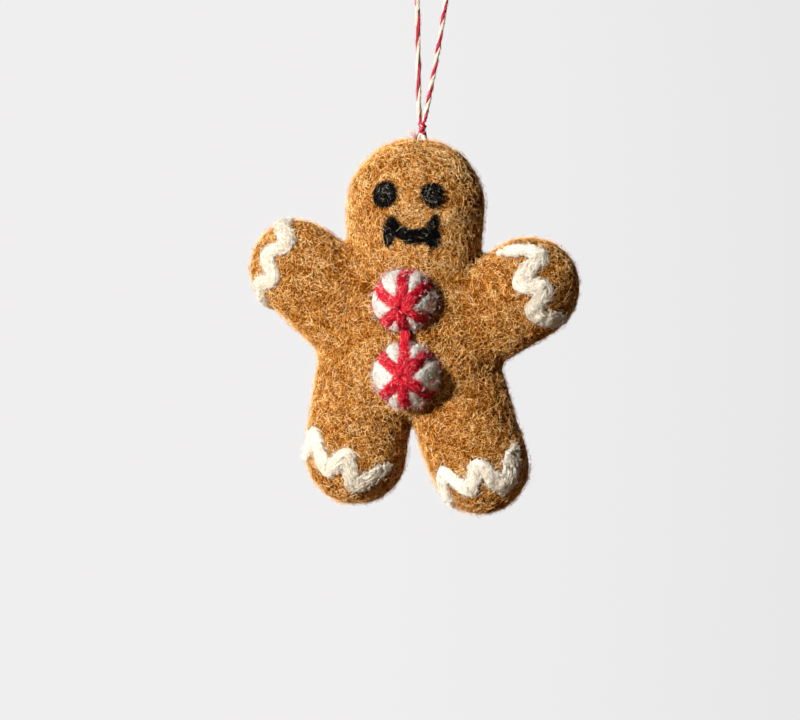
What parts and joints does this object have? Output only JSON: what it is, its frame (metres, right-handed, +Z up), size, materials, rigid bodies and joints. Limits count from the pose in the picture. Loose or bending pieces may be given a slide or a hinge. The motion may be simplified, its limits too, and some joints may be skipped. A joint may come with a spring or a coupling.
{
  "type": "gingerbread figure hanging ornament",
  "caption": "Plump needle-felted gingerbread figure with felt-ball buttons and zigzag icing strands, hung from a knotted loop of red and white twine.",
  "frame": {"origin": "underside of the top of the twine loop, where a twig or a hook holds the ornament", "axes": "+Z up along the hanging line, the figure faces -Y, +X to the right of someone who looks it in the face"},
  "size_m": [0.0908, 0.0367, 0.1838],
  "materials": {
    "wool": "needle-felted wool in gingerbread brown, with a fuzz of pale and dark fibres",
    "black_wool": "needle-felted black wool",
    "white_wool": "rolled white wool felt ball with a short fuzz",
    "red_wool": "combed red wool strands needled on to felt",
    "icing_wool": "combed cream wool strand with loose fibres",
    "twine": "two-ply cotton twine, one ply red and one white"
  },
  "bodies": {
    "loop": {"twine_loop": "twine"},
    "knot": {"twine_knot": "twine"},
    "twine_ends": {"twine_left_end": "twine", "twine_right_end": "twine"},
    "figure": {"torso": "wool", "head": "wool", "left_arm": "wool", "right_arm": "wool", "left_leg": "wool", "right_leg": "wool", "left_eye": "black_wool", "right_eye": "black_wool", "mouth_left_stroke": "black_wool", "mouth_right_stroke": "black_wool", "mouth_smile": "black_wool", "left_hand_icing": "icing_wool", "right_hand_icing": "icing_wool", "left_foot_icing": "icing_wool", "right_foot_icing": "icing_wool", "upper_button": "white_wool", "lower_button": "white_wool", "upper_button_stripes": "red_wool", "lower_button_stripes": "red_wool", "twine_stitch": "twine", "twine_tail": "twine"}
  },
  "joints": [
    {"name": "twine_twist", "type": "hinge", "parent": "loop", "child": "knot", "pos_m": [0.0005, 0, -0.07755], "axis": [0, 0, 1], "range_deg": [-180, 180]},
    {"name": "figure_swing", "type": "hinge", "parent": "knot", "child": "twine_ends", "pos_m": [0.0005, 0, -0.07755], "axis": [0, 1, 0], "range_deg": [-60, 60]},
    {"name": "figure_nod", "type": "hinge", "parent": "twine_ends", "child": "figure", "pos_m": [0.0001, 0, -0.0805], "axis": [1, 0, 0], "range_deg": [-45, 45]}
  ]
}
